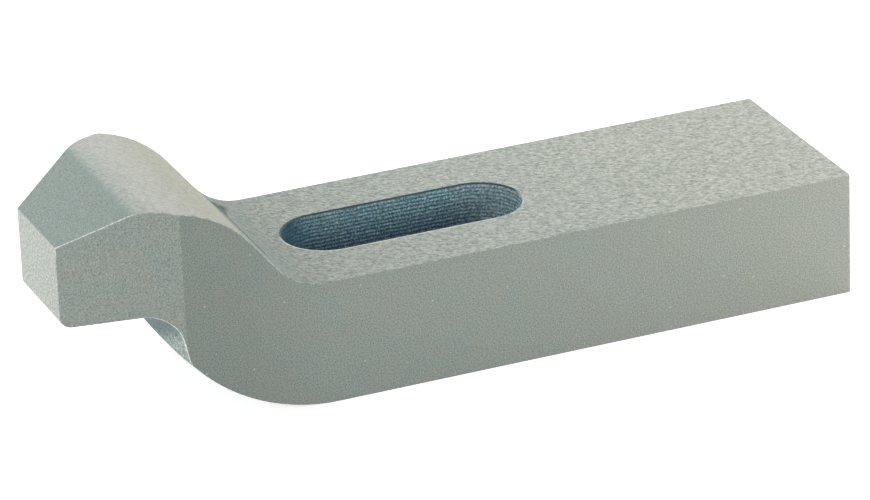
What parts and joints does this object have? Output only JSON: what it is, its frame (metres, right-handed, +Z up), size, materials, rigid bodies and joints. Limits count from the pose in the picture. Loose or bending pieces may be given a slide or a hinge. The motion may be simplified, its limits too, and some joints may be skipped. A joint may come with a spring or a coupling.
{
  "type": "strap clamp",
  "caption": "Goose-neck strap clamp: a flat steel bar with a long stud slot, a raised hump and a tapered nose that presses on the work.",
  "frame": {"origin": "middle of the flat seat, halfway along the whole length", "axes": "+Z up from the seat, +Y along the length from the nose towards the heel, +X to the side"},
  "size_m": [0.045, 0.16, 0.0451],
  "materials": {
    "steel": "matt"
  },
  "bodies": {
    "root": {"strap_clamp": "steel"}
  },
  "joints": []
}
